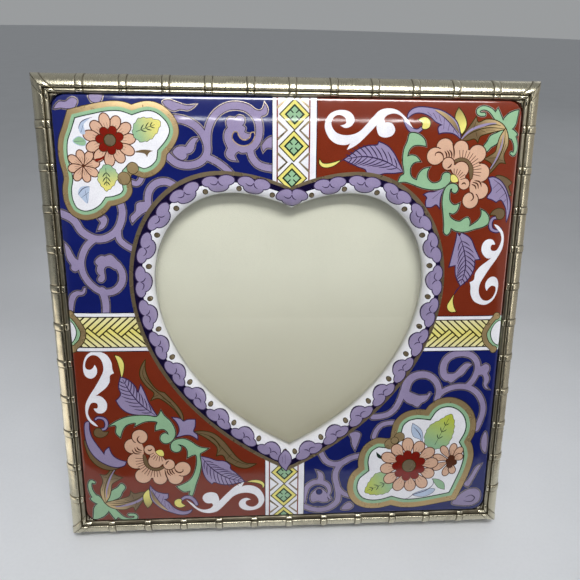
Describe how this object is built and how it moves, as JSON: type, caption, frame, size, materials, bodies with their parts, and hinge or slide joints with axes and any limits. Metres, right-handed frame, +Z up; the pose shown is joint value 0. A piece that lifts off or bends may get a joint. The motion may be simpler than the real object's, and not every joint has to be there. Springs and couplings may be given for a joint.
{
  "type": "easel picture frame",
  "caption": "Square standing picture frame with an enamelled panel, heart-shaped opening, ribbon-banded metal rails and a folding easel strut.",
  "frame": {"origin": "on the floor, under the middle of the object's bounding box", "axes": "+X to the viewer's right, +Y to the back where the strut stands, +Z up; the picture leans back 15 degrees"},
  "size_m": [0.152, 0.0632, 0.1485],
  "materials": {
    "silvered_rail": "silver plate with dark tarnish in the recesses",
    "solder": "dull soft solder",
    "enamel": "glossy polychrome enamel with gold outlines",
    "glass": "clear float glass",
    "card": "matt cream card",
    "velvet_board": "hardboard covered in black velvet",
    "velvet_strut": "hardboard covered in black velvet",
    "hinge_brass": "satin",
    "button_brass": "satin",
    "screw_brass": "satin"
  },
  "bodies": {
    "frame": {"top_rail": "silvered_rail", "bottom_rail": "silvered_rail", "left_rail": "silvered_rail", "right_rail": "silvered_rail", "solder_top_left": "solder", "solder_top_right": "solder", "solder_bottom_left": "solder", "solder_bottom_right": "solder", "enamel_panel": "enamel", "glass_pane": "glass", "picture_card": "card", "back_board": "velvet_board", "hinge_fixed_leaf": "hinge_brass", "hinge_pin": "hinge_brass", "board_rivet_left": "hinge_brass", "board_rivet_right": "hinge_brass", "button_screw_upper_left": "screw_brass", "button_screw_upper_right": "screw_brass", "button_screw_lower_left": "screw_brass", "button_screw_lower_right": "screw_brass"},
    "strut": {"easel_strut": "velvet_strut", "hinge_moving_leaf": "hinge_brass", "strut_rivet_left": "hinge_brass", "strut_rivet_right": "hinge_brass"},
    "turn_button_upper_left": {"turn_button_upper_left": "button_brass"},
    "turn_button_upper_right": {"turn_button_upper_right": "button_brass"},
    "turn_button_lower_left": {"turn_button_lower_left": "button_brass"},
    "turn_button_lower_right": {"turn_button_lower_right": "button_brass"}
  },
  "joints": [
    {"name": "strut_fold", "type": "hinge", "parent": "frame", "child": "strut", "pos_m": [0, 0.00684, 0.10197], "axis": [1, 0, 0], "range_deg": [-26, 0]},
    {"name": "button_turn_upper_left", "type": "hinge", "parent": "frame", "child": "turn_button_upper_left", "pos_m": [-0.0738, 0.00898, 0.11382], "axis": [0, -0.9659, 0.2588], "range_deg": [-90, 90]},
    {"name": "button_turn_upper_right", "type": "hinge", "parent": "frame", "child": "turn_button_upper_right", "pos_m": [0.0738, 0.00898, 0.11382], "axis": [0, -0.9659, 0.2588], "range_deg": [-90, 90]},
    {"name": "button_turn_lower_left", "type": "hinge", "parent": "frame", "child": "turn_button_lower_left", "pos_m": [-0.0738, -0.01276, 0.03269], "axis": [0, -0.9659, 0.2588], "range_deg": [-90, 90]},
    {"name": "button_turn_lower_right", "type": "hinge", "parent": "frame", "child": "turn_button_lower_right", "pos_m": [0.0738, -0.01276, 0.03269], "axis": [0, -0.9659, 0.2588], "range_deg": [-90, 90]}
  ]
}
